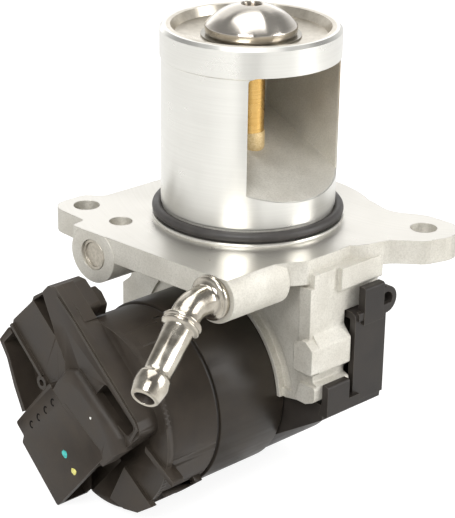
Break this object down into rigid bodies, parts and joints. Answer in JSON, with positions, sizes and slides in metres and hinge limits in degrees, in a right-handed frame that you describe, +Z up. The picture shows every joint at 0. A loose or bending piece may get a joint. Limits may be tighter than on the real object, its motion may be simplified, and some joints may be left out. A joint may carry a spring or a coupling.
{
  "type": "egr valve",
  "caption": "Electric exhaust gas recirculation valve: gas tube with a lifting poppet, flange, motor unit and coolant nipple.",
  "frame": {"origin": "on the gas tube's axis at the flange's top face", "axes": "+Z up along the tube and the valve's stem, +X along the motor's axis towards the gear cover, -Y out of the tube's window"},
  "size_m": [0.1114, 0.0936, 0.1382],
  "materials": {
    "cast_aluminium": "satin",
    "seat_steel": "satin",
    "brass": "satin",
    "seal_rubber": "matte",
    "zinc_steel": "satin",
    "polished_stainless": "polished",
    "spring_steel": "satin",
    "plug_steel": "matte",
    "nickel_plate": "polished",
    "black_plastic": "matte",
    "ferrite": "matte",
    "core_steel": "satin",
    "copper_wire": "glossy",
    "copper_bars": "satin",
    "bearing_steel": "polished",
    "brown_plastic": "matte",
    "carbon": "matte",
    "tinned_contact": "satin",
    "gear_plastic": "satin",
    "circuit_board": "glossy"
  },
  "bodies": {
    "housing": {"valve_housing": "cast_aluminium", "seat_ring": "seat_steel", "guide_bush": "brass", "stem_seal": "seal_rubber", "seal_washer": "zinc_steel", "tube_seal": "seal_rubber", "core_plug": "plug_steel", "coolant_nipple": "nickel_plate", "motor_housing": "black_plastic", "motor_can": "zinc_steel", "field_magnets": "ferrite", "front_bearing": "bearing_steel", "rear_bearing": "bearing_steel", "brush_plate": "brown_plastic", "brushes": "carbon", "motor_seal": "seal_rubber", "cap_seal": "seal_rubber", "end_cap": "black_plastic", "connector_pins": "tinned_contact", "idler_axle": "core_steel", "output_axle": "core_steel", "sensor_board": "circuit_board", "cover_gasket": "seal_rubber", "gear_cover": "black_plastic", "return_spring": "spring_steel"},
    "valve": {"poppet_valve": "polished_stainless", "spring_plate": "zinc_steel", "stem_yoke": "zinc_steel"},
    "rotor": {"motor_shaft": "core_steel", "rotor_core": "core_steel", "rotor_windings": "copper_wire", "commutator": "copper_bars", "motor_pinion": "brass"},
    "idler": {"idler_gear": "gear_plastic"},
    "output": {"output_gear": "gear_plastic", "crank_pin": "core_steel", "sensor_magnet": "ferrite"},
    "roller": {"crank_roller": "bearing_steel"}
  },
  "joints": [
    {"name": "rotor_spin", "type": "hinge", "parent": "housing", "child": "rotor", "pos_m": [-0.03, 0, -0.047], "axis": [1, 0, 0], "range_deg": [0, 960]},
    {"name": "idler_spin", "type": "hinge", "parent": "housing", "child": "idler", "pos_m": [0, 0.01111, -0.03348], "axis": [1, 0, 0], "range_deg": [-240, 0]},
    {"name": "output_swing", "type": "hinge", "parent": "housing", "child": "output", "pos_m": [0, -0.0053, -0.0245], "axis": [1, 0, 0], "range_deg": [0, 80]},
    {"name": "roller_spin", "type": "hinge", "parent": "output", "child": "roller", "pos_m": [0, -0.0007, -0.02836], "axis": [1, 0, 0], "continuous": true},
    {"name": "valve_lift", "type": "slide", "parent": "housing", "child": "valve", "axis": [0, 0, 1], "range_m": [0, 0.00772], "stiffness_N_per_m": 800, "springref_m": -0.012, "deforming": ["return_spring"]}
  ],
  "couplings": [
    {"joint": "idler_spin", "follows": "rotor_spin", "ratio": -0.25},
    {"joint": "output_swing", "follows": "rotor_spin", "ratio": 0.083333},
    {"joint": "valve_lift", "follows": "rotor_spin", "m_per_rad": 0.00046036}
  ]
}
